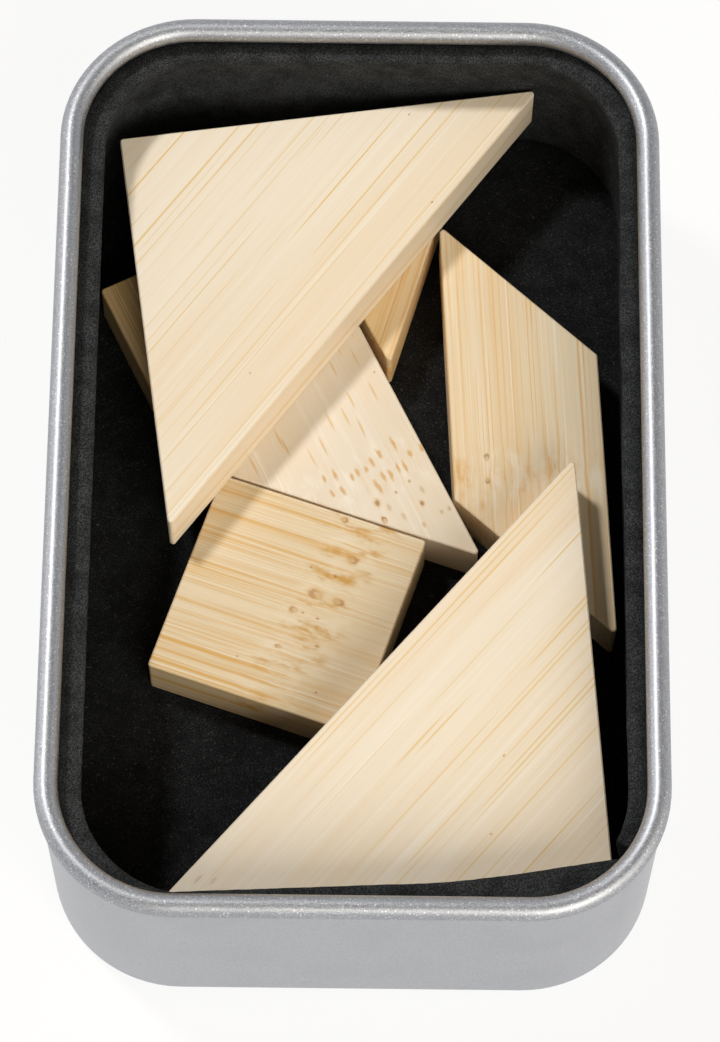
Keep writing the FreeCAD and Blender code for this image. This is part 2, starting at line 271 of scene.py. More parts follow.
@dataclass(frozen=True)
class Strands:
    """One kind of fibre strand: how far apart, how wide to each side and how strong they are.

    rise is how much taller than wide they are, drift how far they wander up and down, and pale the
    share of them that shows as whitish lines.
    """

    spacing: float
    width: float
    depth: float
    rise: float = 2.4
    drift: float = 1.0
    pale: float = 0.3


@dataclass(frozen=True)
class Band:
    """A strong line of fibres: its place across the grain, half its width and its strength."""

    across: float
    width: float
    depth: float


@dataclass(frozen=True)
class StemJoint:
    """The band across a board where a ring of the bamboo stem was cut through.

    along and slant place the band, and width is half its width. strokes and stain are how strong
    the long strokes on its upper side and its brown stain are. calm is how much of the strands'
    strength is left past it, swirl how far it pushes the fibres aside, and dashes holds the short
    dashes in it, each as its place along and across and half its length.
    """

    along: float
    slant: float
    width: float
    strokes: float = 0.0
    stain: float = 0.0
    calm: float = 1.0
    swirl: float = 0.5
    dashes: tuple[Triple, ...] = ()
    dash_width: float = 0.26
    dash_tone: float = 0.85


@dataclass(frozen=True)
class Waves:
    """Waves per millimetre along the grain, across it and upwards, of each noise in the wood.

    fibre is the fine grain, broad the slow change of tone and wander the strands' drift. wobble,
    push and patch shape the stem's joint, stroke its long strokes and ragged the marks' outlines.
    """

    fibre: Triple = (0.09, 5.0, 5.0)
    broad: Triple = (0.012, 0.11, 0.05)
    wander: Triple = (0.016, 0.16, 0.1)
    wobble: Triple = (0.2, 0.3, 0.25)
    push: Triple = (0.22, 0.42, 0.3)
    patch: Triple = (0.22, 0.60, 0.3)
    stroke: Triple = (0.105, 0.95, 0.0)
    ragged: Triple = (1.6, 2.2, 2.0)


@dataclass(frozen=True)
class BambooFinish:
    """Sanded bamboo: pale wood with orange fibre strands that run the way the board was cut.

    heading is roughly the way of the grain, and the board's side nearest to it gives it exactly.
    """

    board: Board
    heading: float
    seed: float
    strands: tuple[Strands, ...]
    pale: Colour = srgb(244, 233, 217)
    warm: Colour = srgb(242, 225, 202)
    whitish: Colour = srgb(251, 245, 234)
    streak: Colour = srgb(231, 192, 112)
    brown: Colour = srgb(150, 104, 54)
    halo: Colour = srgb(224, 186, 125)
    stain: Colour = srgb(212, 167, 101)
    dash: Colour = srgb(216, 172, 108)
    stroke: Colour = srgb(222, 186, 118)
    warming: float = 0.0
    streaks: float = 0.10
    streak_width: float = 1.1
    streak_along: float = 0.018
    streak_flat: float = 0.4
    fibre: float = 0.06
    waves: Waves = Waves()
    bands: tuple[Band, ...] = ()
    joint: StemJoint | None = None
    pits: tuple[Pit, ...] = ()

    def material(self, centre: Vector, heading: float) -> Material:
        """The board's material, for its box's middle in metres and its grain's exact heading."""
        return BambooTree(self, centre, heading).finished()


class BambooTree(ShaderTree):
    """A board's material under construction, with its coordinates, colour and height so far."""

    seed_step: float = 3.7
    pale_strength: float = 0.65
    chance_blend: float = 0.02
    band_sway: float = 1.5
    joint_wobble: float = 5.0
    raggedness: float = 1.1
    orange_depth: float = 0.35
    dash_depth: float = 0.4
    pit_depth: float = 2.0

    def __init__(self, finish: BambooFinish, centre: Vector, heading: float) -> None:
        """Starts the tree with millimetres along the grain, across it and up from the middle.

        Args:
            finish: The board's finish.
            centre: The middle of the board's box, in metres.
            heading: The grain's exact heading.
        """
        super().__init__(f"bamboo_{finish.board.value}")
        self.finish, self.waves, self.seed = finish, finish.waves, finish.seed
        turn = (0, 0, math.radians(heading))
        self.place = self.node("Mapping", self.object_place(), centre, turn, (MM, MM, MM),
                               vector_type="TEXTURE").outputs[0]
        if finish.joint:
            self.reach = self._reach(finish.joint)
            self.place = self._swirled(finish.joint)
        _, self.across, self.up = self.parts(self.place)
        ragged = self.noise(self.place, self.waves.ragged)
        self.ragged = self.centred(ragged, self.raggedness)
        self.colour: object = finish.pale
        self.height: object = 0.0

    def finished(self) -> Material:
        """Lays the wood's tones, fibre lines, stem joint and pits over each other.

        Returns:
            The material.
        """
        finish, waves, joint = self.finish, self.waves, self.finish.joint
        fibre = self.noise(self.place, waves.fibre, (self.seed, 0, 0), 3.0, 0.6)
        rows = 1 / finish.streak_width
        scale = (finish.streak_along, rows, rows * finish.streak_flat)
        streaks = self.noise(self.place, scale, (0, self.seed, 0), 2.0, 0.55)
        broad = self.noise(self.place, waves.broad, (0, 0, self.seed), 1.0)
        broad = self.math("ADD", broad, self.times(self.across, finish.warming))
        orange, white = self._lines()
        swayed = self.math("ADD", self.across, self.centred(broad, self.band_sway))
        broken = self.step(fibre, 0.2, 0.6, 0.5, 1.0)
        for band in finish.bands:
            off = self.math("ABSOLUTE", self.math("SUBTRACT", swayed, band.across))
            line = self.step(off, band.width, band.width * 0.2, 0.0, band.depth)
            orange = self.math("MAXIMUM", orange, self.times(line, broken))
        if joint:
            past = self.step(self.reach, -joint.width * 0.4, joint.width * 0.5, 1.0, joint.calm)
            orange = self.times(orange, past)
            streaks = self.mix(past, (0.5, 0.5, 0.5, 1.0), streaks)

        self.height = self.times(fibre, 0.4)
        self._lay(self.step(broad, 0.36, 0.64), finish.warm)
        self._lay(self.step(streaks, 0.50, 0.74, 0.0, finish.streaks), finish.streak)
        self._lay(self.step(streaks, 0.47, 0.30, 0.0, 0.25), finish.whitish)
        self._lay(white, finish.whitish)
        self._lay(orange, finish.streak, self.orange_depth)
        self._lay(self.step(fibre, 0.40, 0.72, 0.0, finish.fibre), finish.streak)
        self._lay(self.step(fibre, 0.42, 0.26, 0.0, finish.fibre * 2), finish.whitish)
        if joint:
            self._add_ring(joint)
        self._add_pits()
        roughness = self.step(fibre, 0.2, 0.8, 0.42, 0.55)
        return self.surface(Base_Color=self.colour, Roughness=roughness, IOR=1.42,
                            Normal=self.bump(self.height, 0.05, 0.5))

    def _lay(self, share: object, tint: Colour, depth: float = 0.0) -> None:
        """Lays a tint over a share of the wood and sinks it.

        Args:
            share: The share, 0 to 1.
            tint: The colour.
            depth: How deep it sinks.
        """
        self.colour = self.mix(share, self.colour, tint)
        if depth:
            self.height = self.math("SUBTRACT", self.height, self.times(share, depth))

    def _reach(self, joint: StemJoint) -> Socket:
        """Finds the distance past the joint's ragged middle line.

        Args:
            joint: The joint.

        Returns:
            The distance's socket.
        """
        along, across, _ = self.parts(self.place)
        wobble = self.noise(self.place, self.waves.wobble, (self.seed, 0, self.seed))
        reach = self.math("SUBTRACT", along, joint.along)
        reach = self.math("SUBTRACT", reach, self.times(across, joint.slant))
        return self.math("ADD", reach, self.centred(wobble, self.joint_wobble))

    def _swirled(self, joint: StemJoint) -> Socket:
        """Pushes the fibres sideways round the joint.

        Args:
            joint: The joint.

        Returns:
            The place's socket.
        """
        near = self.step(self.math("ABSOLUTE", self.reach), joint.width * 1.6, 0.0)
        push = self.noise(self.place, self.waves.push, (0, self.seed, self.seed), 1.0)
        push = self.times(self.centred(push, 2 * joint.swirl), near)
        sideways = self.node("CombineXYZ", None, push).outputs[0]
        return self.node("VectorMath", self.place, sideways, operation="ADD").outputs[0]

    def _lines(self) -> tuple[object, object]:
        """Fibre strands: long oval strands that drift in and out of the board's faces.

        Returns:
            The strength of the orange lines and that of the whitish ones.
        """
        orange, white = 0.0, 0.0
        for turn, kind in enumerate(self.finish.strands):
            seed = self.seed + self.seed_step * turn
            wander = self.noise(self.place, self.waves.wander, (seed, seed, 0), 1.0)
            level = self.math("ADD", self.up, self.centred(wander, 2 * kind.drift * kind.rise))
            section = self.node("CombineXYZ", self.across, level).outputs[0]
            rows = 1 / kind.spacing
            distance, chance, strength = self.cells(
                section, (rows, rows / kind.rise, 1), (seed, seed, 0), "2D")
            edge = kind.width / kind.spacing
            strand = self.times(self.step(distance, edge * 1.6, edge * 0.6),
                                self.step(strength, 0.0, 1.0, 0.35, 1.0))
            less, more = kind.pale - self.chance_blend, kind.pale + self.chance_blend
            dark = self.times(strand, self.step(chance, less, more, 0.0, kind.depth))
            light = self.times(strand, self.step(chance, more, less, 0.0, self.pale_strength))
            orange = self.math("MAXIMUM", orange, dark)
            white = self.math("MAXIMUM", white, light)
        return orange, white

    def _add_ring(self, joint: StemJoint) -> None:
        """Adds the stem's ring: stained patches, short brown dashes and long strokes.

        Args:
            joint: The joint.
        """
        finish = self.finish
        band = self.step(self.math("ABSOLUTE", self.reach), joint.width, joint.width * 0.45)
        patch = self.noise(self.place, self.waves.patch, (0, self.seed, self.seed), 4.0, 0.6)
        self._lay(self.times(band, self.step(patch, 0.50, 0.34, 0.0, 0.4)), finish.whitish)
        self._lay(self.times(band, self.step(patch, 0.50, 0.70, 0.0, joint.stain)), finish.stain)
        dashes = 0.0
        for along, across, half in joint.dashes:
            radius = self._radius(self._oval(along, across, half, joint.dash_width))
            dash = self.step(radius, 1.35, 0.35, 0.0, joint.dash_tone)
            dashes = self.math("MAXIMUM", dashes, dash)
        distance, chance, _ = self.cells(self.place, self.waves.stroke, (self.seed, 0, 0), "2D")
        lane = self.step(self.reach, joint.width * 0.3, joint.width * 0.8, 0.0, joint.strokes)
        strokes = self.times(self.step(distance, 0.20, 0.05), self.step(chance, 0.35, 0.5))
        self._lay(dashes, finish.dash, self.dash_depth)
        self._lay(self.times(strokes, lane), finish.stroke, self.dash_depth)

    def _add_pits(self) -> None:
        """Adds the pits, each a dark core beside a pale patch in a brownish halo."""
        for pit in self.finish.pits:
            where = self._oval(pit.along, pit.across, pit.size * pit.length, pit.size)
            radius = self._radius(where)
            self._lay(self.step(radius, 2.1, 0.9, 0.0, 0.75 * pit.tone), self.finish.halo)
            core = self.step(radius, 1.25, 0.5, 0.0, pit.tone)
            if pit.hollow:
                moved = self.stretch(where, (1.0, 1.0, 1.0), (pit.hollow, 0.0, 0.0))
                hidden = self.step(self._radius(moved), 0.6, 1.2, 0.25, 1.0)
                core = self.times(self.step(radius, 1.4, 0.9, 0.0, pit.tone), hidden)
            self._lay(core, self.finish.brown, self.pit_depth)

    def _oval(self, along: float, across: float, half_length: float, half_width: float) -> Socket:
        """Coordinates round a mark's middle that are 1 at the oval's rim."""
        scale = (1 / half_length, 1 / half_width, 0.0)
        return self.stretch(self.place, scale, (-along * scale[0], -across * scale[1], 0.0))

    def _radius(self, where: Socket) -> Socket:
        """Distance from a mark's middle, with a ragged outline."""
        length = self.node("VectorMath", where, operation="LENGTH").outputs["Value"]
        return self.math("ADD", length, self.ragged)


@dataclass(frozen=True)
class TinFinish:
    """Satin tinplate: soft grey metal with a fine glitter, which is strong on the curled rim.

    grain and the glint count are the glitter's dots and the painted glints in a millimetre, and rim
    is the level where the bead starts. Above rim the metal is darkened by painted shade and dotted
    with painted glints.
    """

    light: Colour = srgb(204, 205, 209)
    dark: Colour = srgb(158, 160, 165)
    shaded: Colour = srgb(128, 130, 136)
    painted_glint: Colour = srgb(246, 247, 250)
    grain: float = 6.0
    painted_glint_count: float = 2.6
    clouds: float = 0.09
    roughness: float = 0.50
    rim: float = 28.8

    def material(self) -> Material:
        """Builds the tin's material.

        Returns:
            The material.
        """
        tree = ShaderTree("satin_tinplate")
        place = tree.object_place()
        _, _, level = tree.parts(place)
        bead = tree.step(level, self.rim * MM, (self.rim + 1) * MM)
        off_planes = (0.37, 0.41, 0.29)  # keeps the walls off the noise's own planes
        glitter = tree.noise(place, (self.grain / MM,) * 3, off_planes, 2.0, 0.7)
        glitter = tree.centred(glitter, tree.step(bead, 0.0, 1.0, 0.28, 1.15))
        glitter = tree.math("ADD", glitter, 0.5)
        cloud = tree.noise(place, (self.clouds / MM,) * 3)
        colour = tree.mix(tree.step(glitter, 0.36, 0.66), self.dark, self.light)
        colour = tree.mix(tree.step(cloud, 0.4, 0.7, 0.0, 0.15), colour, self.dark)
        # Painted shade: the curled rim's metal is mixed 35 per cent of the way toward a darker
        # grey.
        colour = tree.mix(tree.times(bead, 0.35), colour, self.shaded)
        # Painted glints: sparse bright dots on the curled rim.
        spot, chance, _ = tree.cells(place, (self.painted_glint_count / MM,) * 3)
        painted_glint_share = tree.times(tree.step(spot, 0.32, 0.14), tree.step(chance, 0.45, 0.7, 0.0, 0.55))
        colour = tree.mix(tree.times(painted_glint_share, bead), colour, self.painted_glint)
        rough = tree.step(glitter, 0.3, 0.7, self.roughness - 0.07, self.roughness + 0.09)
        rough = tree.math("SUBTRACT", rough, tree.times(bead, 0.04))
        return tree.surface(Base_Color=colour, Metallic=1.0, Roughness=rough,
                            Normal=tree.bump(glitter, 0.03, 0.35))


@dataclass(frozen=True)
class FoamFinish:
    """Black open-cell foam with fine pores and a few pale specks of dust."""

    name: str
    # Painted light: above 1 this lightens the foam's colours for a piece whose faces catch more
    # light.
    painted_light_gain: float = 1.0
    dark: float = 0.0022
    light: float = 0.0260
    tint: Triple = (0.93, 1.0, 1.10)
    dust: Colour = srgb(92, 90, 86)
    pores: float = 6.0
    clouds: float = 0.35

    def material(self) -> Material:
        """Builds the foam's material.

        Returns:
            The material.
        """
        tree = ShaderTree(self.name)
        place = tree.object_place()
        cells, chance, _ = tree.cells(place, (self.pores / MM,) * 3)
        cloud = tree.noise(place, (self.clouds / MM,) * 3, detail=4.0, roughness=0.6)
        dark, light = ((*(level * self.painted_light_gain * part for part in self.tint), 1.0)
                       for level in (self.dark, self.light))
        colour = tree.mix(tree.step(cells, 0.15, 0.75), dark, light)
        colour = tree.mix(tree.step(cloud, 0.35, 0.7, 0.0, 0.5), colour, dark)
        colour = tree.mix(tree.step(chance, 0.955, 0.995, 0.0, 0.35), colour, self.dust)
        return tree.surface(Base_Color=colour, Roughness=0.9, IOR=1.35, Specular_IOR_Level=0.14,
                            Normal=tree.bump(cells, 0.08, 0.7))


@dataclass(frozen=True)
class DustFinish:
    """Pale lint and dust that clings to foam."""

    pale: Colour = srgb(150, 146, 138)
    dull: Colour = srgb(88, 84, 78)
    patches: float = 0.7

    def material(self) -> Material:
        """Builds the dust's material.

        Returns:
            The material.
        """
        tree = ShaderTree("pale_dust")
        patch = tree.noise(tree.object_place(), (self.patches / MM,) * 3, detail=1.0)
        colour = tree.mix(tree.step(patch, 0.3, 0.7), self.pale, self.dull)
        return tree.surface(Base_Color=colour, Roughness=0.9)


@dataclass(frozen=True)
class TableFinish:
    """A white table top that keeps a faint shadow."""

    white: Colour = (0.92, 0.92, 0.92, 1.0)
    speckle: Colour = (0.8, 0.8, 0.8, 1.0)
    grain: float = 0.26
    glow: float = 0.86

    def material(self) -> Material:
        """Builds the table's material, which looks nearly white to the camera and to metal.

        Returns:
            The material.
        """
        tree = ShaderTree("white_table")
        grain = tree.noise(tree.object_place(), (self.grain / MM,) * 3, detail=3.0)
        colour = tree.mix(tree.step(grain, 0.3, 0.7, 0.0, 0.04), self.white, self.speckle)
        matt = tree.node("BsdfDiffuse", colour)
        glow = tree.node("Emission", None, 1.0)
        blend = tree.node("MixShader", tree.times(tree.seen(), self.glow), matt.outputs[0],
                          glow.outputs[0])
        tree.node("OutputMaterial", blend.outputs[0])
        return tree.owner


def add_object(name: str, mesh: bpy.types.Mesh, material: Material | None = None) -> Piece:
    """Puts a mesh into the scene as an object at the origin.

    Args:
        name: The object's name.
        mesh: Its mesh, in place.
        material: What it is dressed in.

    Returns:
        The object.
    """
    made = bpy.data.objects.new(name, mesh)
    if material:
        mesh.materials.clear()
        mesh.materials.append(material)
    bpy.context.scene.collection.objects.link(made)
    return made


def mesh_from_rings(name: str, rings: list[list[Vector]]) -> bpy.types.Mesh:
    """Joins rings of points into a closed skin, capping the first and the last.

    Args:
        name: The mesh's name.
        rings: Closed rings of equal length, in millimetres.

    Returns:
        The mesh in metres, with its faces outwards and smooth.
    """
    form = bmesh.new()
    levels = [[form.verts.new(point * MM) for point in ring] for ring in rings]
    count = len(rings[0])
    for lower, upper in zip(levels, levels[1:]):
        for i in range(count):
            j = (i + 1) % count
            form.faces.new((lower[i], lower[j], upper[j], upper[i]))
    form.faces.new(list(reversed(levels[0])))
    form.faces.new(levels[-1])
    bmesh.ops.recalc_face_normals(form, faces=form.faces)
    for face in form.faces:
        face.smooth = len(face.verts) == 4
    mesh = bpy.data.meshes.new(name)
    form.to_mesh(mesh)
    form.free()
    return mesh


def towards(angle: float) -> Vector:
    """One step that way, with the angle in radians from the X axis."""
    return Vector((math.cos(angle), math.sin(angle), 0))


def ruffle(x: float, y: float, z: float, scale: float, seed: float) -> float:
    """Smooth noise between about -1 and 1, with its scale in waves per millimetre."""
    return noise.noise(Vector((x * scale + seed, y * scale - seed, z * scale)))


@dataclass
class Boards:
    """The seven bamboo boards, whose solids stay and are dressed one by one."""

    finishes: tuple[BambooFinish, ...]
    upright: float = 0.01
    broad_share: float = 0.5

    def dress(self) -> None:
        """Gives each board its own material."""
        for finish in self.finishes:
            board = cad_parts[finish.board.value]
            low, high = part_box(finish.board.value)
            heading = self.grain_heading(board, finish.heading)
            board.data.materials.clear()
            board.data.materials.append(finish.material((low + high) / 2, heading))
            LOG.info("%s: grain at %.1f degrees", finish.board.value, heading)

    def grain_heading(self, board: Piece, wanted: float) -> float:
        """Finds the heading of the board's upright side that lies nearest to a wanted one.

        Args:
            board: The board's solid.
            wanted: The heading looked for.

        Returns:
            The side's heading, within a quarter turn of the wanted one.
        """
        sides: dict[float, float] = {}
        for face in board.data.polygons:
            if abs(face.normal.z) < self.upright:
                heading = math.degrees(math.atan2(face.normal.x, -face.normal.y))
                off = (heading - wanted + 90) % 180 - 90
                key = round(off, 1)
                sides[key] = sides.get(key, 0.0) + face.area
        least = self.broad_share * max(sides.values())
        broad = [off for off, area in sides.items() if area > least]
        return wanted + min(broad, key=abs)


@dataclass
class TinBase:
    """The tin base, whose solid stays and is dressed in satin metal."""

    node: str = "tin_base"
    finish: TinFinish = field(default_factory=TinFinish)

    def dress(self) -> None:
        """Gives the tin its material."""
        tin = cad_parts[self.node]
        tin.data.materials.clear()
        tin.data.materials.append(self.finish.material())
        LOG.info("%s: dressed in satin tinplate", self.node)


@dataclass
class FoamPad:
    """The foam pad on the tin's floor: a soft slab with rounded edges and a slightly uneven top."""

    node: str = "foam_floor_pad"
    corner_radius: float = 13.6
    edge_radius: float = 1.0
    edge_steps: int = 6
    tightest: float = 0.4
    unevenness: float = 0.12
    slow_waves: float = 0.11
    quick_waves: float = 0.6
    ring_step: float = 1.1
    corner_points: int = 26
    side_step: float = 1.0
    seed: float = 4.0

    def outline(self, half_x: float, half_y: float, radius: float,
                counts: tuple[int, int]) -> list[Vector]:
        """A rounded rectangle about the origin, anticlockwise.

        Args:
            half_x: Half its width.
            half_y: Half its length.
            radius: Its corner radius.
            counts: Points along a side across and a side along.

        Returns:
            Its points.
        """
        points: list[Vector] = []
        centres = ((1, 1), (-1, 1), (-1, -1), (1, -1))
        for turn, (sign_x, sign_y) in enumerate(centres):
            centre = Vector((sign_x * (half_x - radius), sign_y * (half_y - radius), 0))
            for i in range(self.corner_points + 1):
                angle = (turn + i / self.corner_points) * math.pi / 2
                points.append(centre + towards(angle) * radius)
            after_x, after_y = centres[(turn + 1) % 4]
            after = Vector((after_x * (half_x - radius), after_y * (half_y - radius), 0))
            stop = after + towards((turn + 1) * math.pi / 2) * radius
            start, count = points[-1], counts[turn % 2]
            points.extend(start.lerp(stop, i / count) for i in range(1, count))
        return points

    def build(self, material: Material) -> Piece:
        """Makes the pad in its solid's place.

        Args:
            material: The foam.

        Returns:
            The pad.
        """
        low, high = (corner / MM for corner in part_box(self.node))
        half_x, half_y = high.x, high.y
        counts = (int(2 * half_x / self.side_step), int(2 * half_y / self.side_step))
        edge = self.edge_radius
        insets = [(edge, low.z), (edge * 0.3, low.z + edge * 0.3), (0.0, low.z + edge),
                  (0.0, high.z - edge)]
        for i in range(1, self.edge_steps + 1):
            angle = i / self.edge_steps * math.pi / 2
            insets.append((edge * (1 - math.cos(angle)), high.z - edge + edge * math.sin(angle)))
        inset = edge + self.ring_step
        while inset < half_x - 1:
            insets.append((inset, high.z))
            inset += self.ring_step
        rings = []
        for inset, level in insets:
            radius = max(self.corner_radius - inset, self.tightest)
            ring = self.outline(half_x - inset, half_y - inset, radius, counts)
            for point in ring:
                sink = ruffle(point.x, point.y, 0, self.slow_waves, self.seed)
                sink += 0.5 * ruffle(point.x, point.y, 0, self.quick_waves, self.seed)
                share = max(0.0, (level - high.z + edge) / edge)
                point.z = level - share * self.unevenness * (sink + 1.5) / 3
            rings.append(ring)
        pad = add_object("foam_pad", mesh_from_rings("foam_pad", rings), material)
        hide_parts(self.node)
        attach(pad, "root")
        LOG.info("foam_pad: %d faces", len(pad.data.polygons))
        return pad


@dataclass(frozen=True)
class Station:
    """One place on the strip's middle line, with the way outwards."""

    point: Vector
    outward: Vector


@dataclass
class FoamStrip:
    """The foam strip round the wall, stood on edge, which leans inwards over the boards."""

    node: str = "foam_wall_strip"
    corner_radius: float = 14.7
    thickness: float = 2.5
    start_angle: float = 31.0
    near_lean: float = 2.6
    near_run: float = 26.0
    bend_angle: float = 7.0
    bend_radius: float = 110.0
    step: float = 0.6
    board_top: float = 21.6
    lean_left: float = 1.6
    lean_right: float = 1.1
    lean_far: float = 0.6
    spread: float = 1.6
    edge_radius: float = 0.45
    edge_steps: int = 4
    side_steps: int = 14
    cut_waver: float = 0.35
    waver_waves: float = 0.09
    drop_waves: float = 0.13
    pore_waves: float = 0.9
    pore_depth: float = 0.05
    seed: float = 11.0

    def stations(self, half_x: float, half_y: float) -> list[Station]:
        """Walks the strip's middle line from the near right corner all the way round.

        Args:
            half_x: Half the width between the strip's outer faces.
            half_y: Half the length between them.

        Returns:
            The stations, a step apart.
        """
        radius = self.corner_radius - self.thickness / 2
        in_x, in_y = half_x - self.corner_radius, half_y - self.corner_radius
        start = math.radians(-self.start_angle)
        lean, bend = math.radians(self.near_lean), math.radians(self.bend_angle)
        quarter = math.pi / 2
        point = Vector((in_x + radius * math.cos(start), -in_y + radius * math.sin(start), 0))
        moves = [(radius, -start), (0.0, 2 * in_y), (radius, quarter), (0.0, 2 * in_x),
                 (radius, quarter), (0.0, 2 * in_y), (radius, quarter + lean),
                 (0.0, self.near_run), (self.bend_radius, bend)]
        heading = start + quarter
        found: list[Station] = []
        for turn_radius, amount in moves:
            point, heading = self._walk(found, point, heading, turn_radius, amount)
        corner = Vector((in_x, -in_y, 0))
        side = Vector((math.sin(heading), -math.cos(heading), 0)) * self.thickness / 2
        reach = point + side - corner
        along = reach.dot(towards(heading))
        rest = -along + math.sqrt(along ** 2 - reach.dot(reach) + self.corner_radius ** 2)
        self._walk(found, point, heading, 0.0, rest)
        return found

    def _walk(self, found: list[Station], point: Vector, heading: float, turn_radius: float,
              amount: float) -> tuple[Vector, float]:
        """Adds the stations of one straight run or one left turn.

        Args:
            found: The stations so far, which grow.
            point: Where the move starts.
            heading: Its heading there, in radians.
            turn_radius: The turn's radius, or 0 for a straight run.
            amount: The run's length, or the turn's angle in radians.

        Returns:
            The point and heading at its end.
        """
        length = turn_radius * amount if turn_radius else amount
        count = max(1, round(length / self.step))
        side = Vector((math.sin(heading), -math.cos(heading), 0))
        centre = point - side * turn_radius
        first = 1 if found else 0
        for i in range(first, count + 1):
            share = i / count
            if turn_radius:
                outward = side.copy()
                outward.rotate(Matrix.Rotation(amount * share, 3, "Z"))
                place = centre + outward * turn_radius
            else:
                outward = side
                place = point + towards(heading) * length * share
            found.append(Station(place, outward.copy()))
        return found[-1].point, heading + (amount if turn_radius else 0.0)

    def section(self, bottom: float, top: float) -> list[tuple[float, float]]:
        """The strip's cut end: a tall thin rectangle with softened corners.

        Args:
            bottom: Its lowest level.
            top: Its highest level.

        Returns:
            Points as distance outwards and level, anticlockwise seen along the strip.
        """
        half, soft = self.thickness / 2, self.edge_radius
        points: list[tuple[float, float]] = []
        corners = ((half - soft, bottom + soft, -1), (half - soft, top - soft, 0),
                   (-half + soft, top - soft, 1), (-half + soft, bottom + soft, 2))
        rises = self.side_steps
        for out, level, turn in corners:
            for i in range(self.edge_steps + 1):
                angle = (turn + i / self.edge_steps) * math.pi / 2
                points.append((out + soft * math.cos(angle), level + soft * math.sin(angle)))
            if turn in (-1, 1):
                span = top - bottom - 2 * soft
                sign = 1 if turn == -1 else -1
                points.extend((points[-1][0], level + sign * span * i / rises)
                              for i in range(1, rises))
        return points

    def build(self, material: Material) -> Piece:
        """Makes the strip in its solid's place.

        Args:
            material: The foam.

        Returns:
            The strip.
        """
        low, high = (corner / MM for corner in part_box(self.node))
        section = self.section(low.z, high.z)
        stations = self.stations(high.x, high.y)
        rings = [self._ring(station, section, low, high) for station in stations]
        strip = add_object("foam_strip", mesh_from_rings("foam_strip", rings), material)
        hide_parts(self.node)
        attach(strip, "root")
        LOG.info("foam_strip: %d stations", len(stations))
        return strip

    def _ring(self, station: Station, section: list[tuple[float, float]], low: Vector,
              high: Vector) -> list[Vector]:
        """The section at one station: its inner side leans in and its outer side hugs the wall.

        Args:
            station: The place on the middle line.
            section: The cut end's points.
            low: The low corner of the strip's box, in millimetres.
            high: Its high corner.

        Returns:
            The section's points in place.
        """
        normal = station.outward
        lean = (self.lean_left * max(0.0, -normal.x) + self.lean_right * max(0.0, normal.x)
                + self.lean_far * max(0.0, normal.y))
        x, y = station.point.x, station.point.y
        ring = []
        for out, level in section:
            rise = min(1.0, max(0.0, (level - self.board_top) / (high.z - self.board_top)))
            outer = 0.5 + out / self.thickness
            shift = (self.spread * outer - lean * (1 - outer)) * rise * rise * (3 - 2 * rise)
            wave = ruffle(x, y, level, self.waver_waves, self.seed) * self.cut_waver * rise
            shift += min(wave, 0.0)
            shift += ruffle(x, y, level, self.pore_waves, self.seed) * self.pore_depth
            fall = 0.5 + 0.5 * ruffle(x, y, 0, self.drop_waves, self.seed + 5)
            drop = self.cut_waver * rise * fall
            place = self._inside(station.point + normal * (out + shift), high)
            ring.append(Vector((place.x, place.y, max(low.z, level - drop))))
        return ring

    def _inside(self, place: Vector, high: Vector) -> Vector:
        """A place moved back onto the strip's outer outline where it lies outside it."""
        in_x, in_y = high.x - self.corner_radius, high.y - self.corner_radius
        nearest = Vector((min(max(place.x, -in_x), in_x), min(max(place.y, -in_y), in_y), 0))
        past = place - nearest
        if past.length > self.corner_radius:
            past *= self.corner_radius / past.length
        return nearest + past


